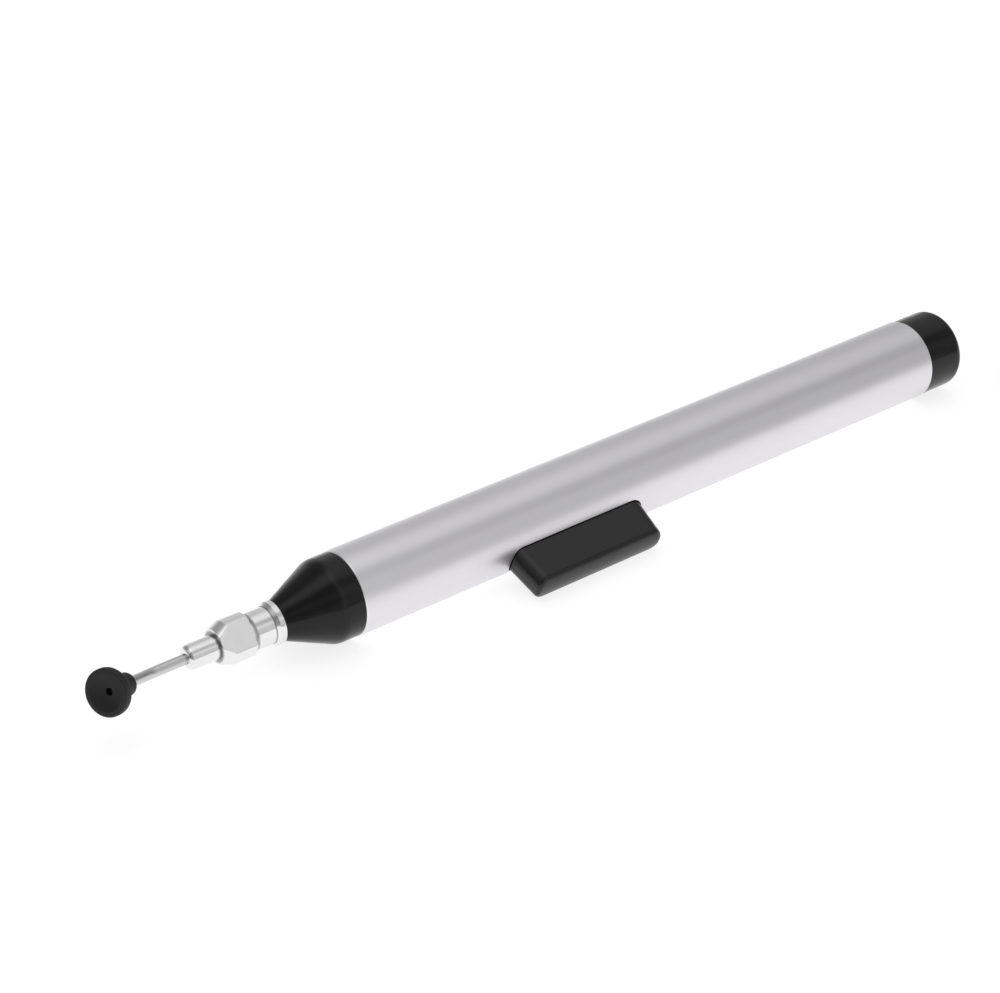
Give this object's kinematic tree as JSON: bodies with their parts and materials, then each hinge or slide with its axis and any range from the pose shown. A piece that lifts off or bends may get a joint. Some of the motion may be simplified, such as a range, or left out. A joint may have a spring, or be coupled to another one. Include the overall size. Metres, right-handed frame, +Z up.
{
  "type": "vacuum pick up pen",
  "caption": "Slim hand vacuum pen: tube barrel with a side press bar over a rubber bulb, and a pull-off bent needle head with a rubber suction cup for lifting small parts.",
  "frame": {"origin": "on the table, under the middle of the pen's bounding box as it lies on its barrel and on the lower edge of its button", "axes": "+X along the barrel from the needle head to the tail cap, -Y towards the button's side, +Z up from the table"},
  "size_m": [0.1508, 0.0172, 0.012],
  "materials": {
    "anodised_tube": "satin anodised",
    "black_gloss": "gloss moulded",
    "black_satin": "satin moulded",
    "bright_plate": "bright nickel plate",
    "needle_steel": "drawn tube",
    "cup_rubber": "matt moulded",
    "bulb_rubber": "matt extruded"
  },
  "bodies": {
    "pen": {"barrel": "anodised_tube", "nose_cone": "black_gloss", "nozzle": "bright_plate", "bulb": "bulb_rubber", "tail_cap": "black_gloss"},
    "button": {"button": "black_satin"},
    "needle_head": {"needle_hub": "bright_plate", "needle": "needle_steel", "suction_cup": "cup_rubber"}
  },
  "joints": [
    {"name": "button_press", "type": "slide", "parent": "pen", "child": "button", "axis": [0, 0.9286, 0.371], "range_m": [0, 0.003], "stiffness_N_per_m": 600, "springref_m": -0.001, "deforming": ["bulb"]},
    {"name": "head_pull", "type": "slide", "parent": "pen", "child": "needle_head", "axis": [-1, 0, 0], "range_m": [0, 0.012]}
  ]
}
